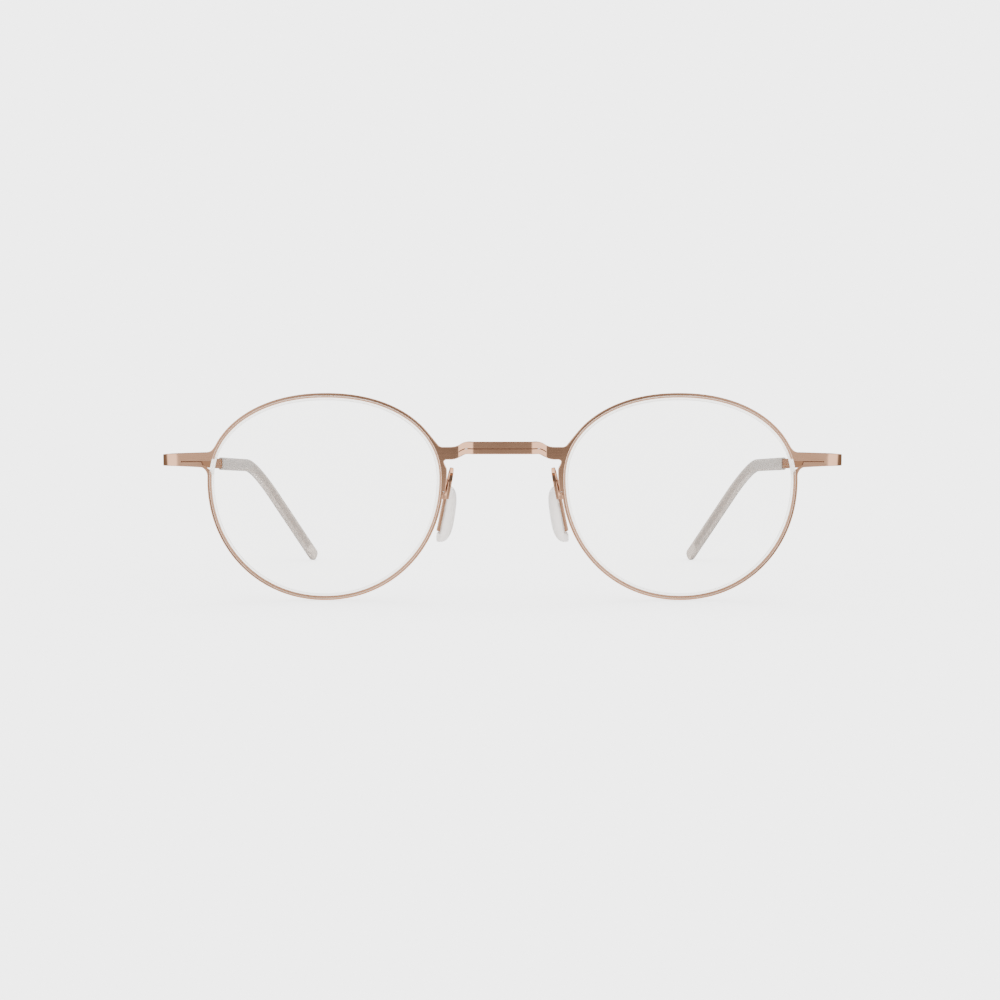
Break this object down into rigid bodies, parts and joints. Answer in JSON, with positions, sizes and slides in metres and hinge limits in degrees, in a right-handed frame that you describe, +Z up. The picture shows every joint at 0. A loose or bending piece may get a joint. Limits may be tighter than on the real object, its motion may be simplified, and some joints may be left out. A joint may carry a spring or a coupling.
{
  "type": "eyeglasses",
  "caption": "Eyeglasses with a bent sheet-metal front, oval clear lenses held in grooves, looped pad arms with nose pads, and strip temples with sleeved tips that fold on hinges.",
  "frame": {"origin": "on the resting surface, under the middle of the box around the open glasses", "axes": "the front faces -Y, the temples run to +Y, +X is the wearer's left and +Z is up"},
  "size_m": [0.1366, 0.1426, 0.0417],
  "materials": {
    "rose_gold_steel": "satin rose-gold plating on steel sheet",
    "plain_steel": "turned and polished",
    "lens_plastic": "clear, polished faces and ground edges",
    "clear_silicone": "clear, satin moulded",
    "grey_sleeve": "translucent warm grey, moulded",
    "white_nylon": "punched sheet"
  },
  "bodies": {
    "front": {"front_frame": "rose_gold_steel", "left_lens": "lens_plastic", "right_lens": "lens_plastic", "left_pad_arm": "rose_gold_steel", "right_pad_arm": "rose_gold_steel", "left_nose_pad": "clear_silicone", "right_nose_pad": "clear_silicone", "left_front_leaf": "rose_gold_steel", "right_front_leaf": "rose_gold_steel", "left_hinge_screw": "plain_steel", "right_hinge_screw": "plain_steel", "left_upper_washer": "white_nylon", "right_upper_washer": "white_nylon", "left_lower_washer": "white_nylon", "right_lower_washer": "white_nylon"},
    "left_temple_assembly": {"left_temple": "rose_gold_steel", "left_temple_tip": "grey_sleeve", "left_temple_leaf": "rose_gold_steel"},
    "right_temple_assembly": {"right_temple": "rose_gold_steel", "right_temple_tip": "grey_sleeve", "right_temple_leaf": "rose_gold_steel"}
  },
  "joints": [
    {"name": "left_temple_fold", "type": "hinge", "parent": "front", "child": "left_temple_assembly", "pos_m": [0.06601, -0.05906, 0.02798], "axis": [0, 0.041, 0.9992], "range_deg": [0, 85]},
    {"name": "right_temple_fold", "type": "hinge", "parent": "front", "child": "right_temple_assembly", "pos_m": [-0.06601, -0.05906, 0.02798], "axis": [0, -0.041, -0.9992], "range_deg": [0, 79]}
  ]
}
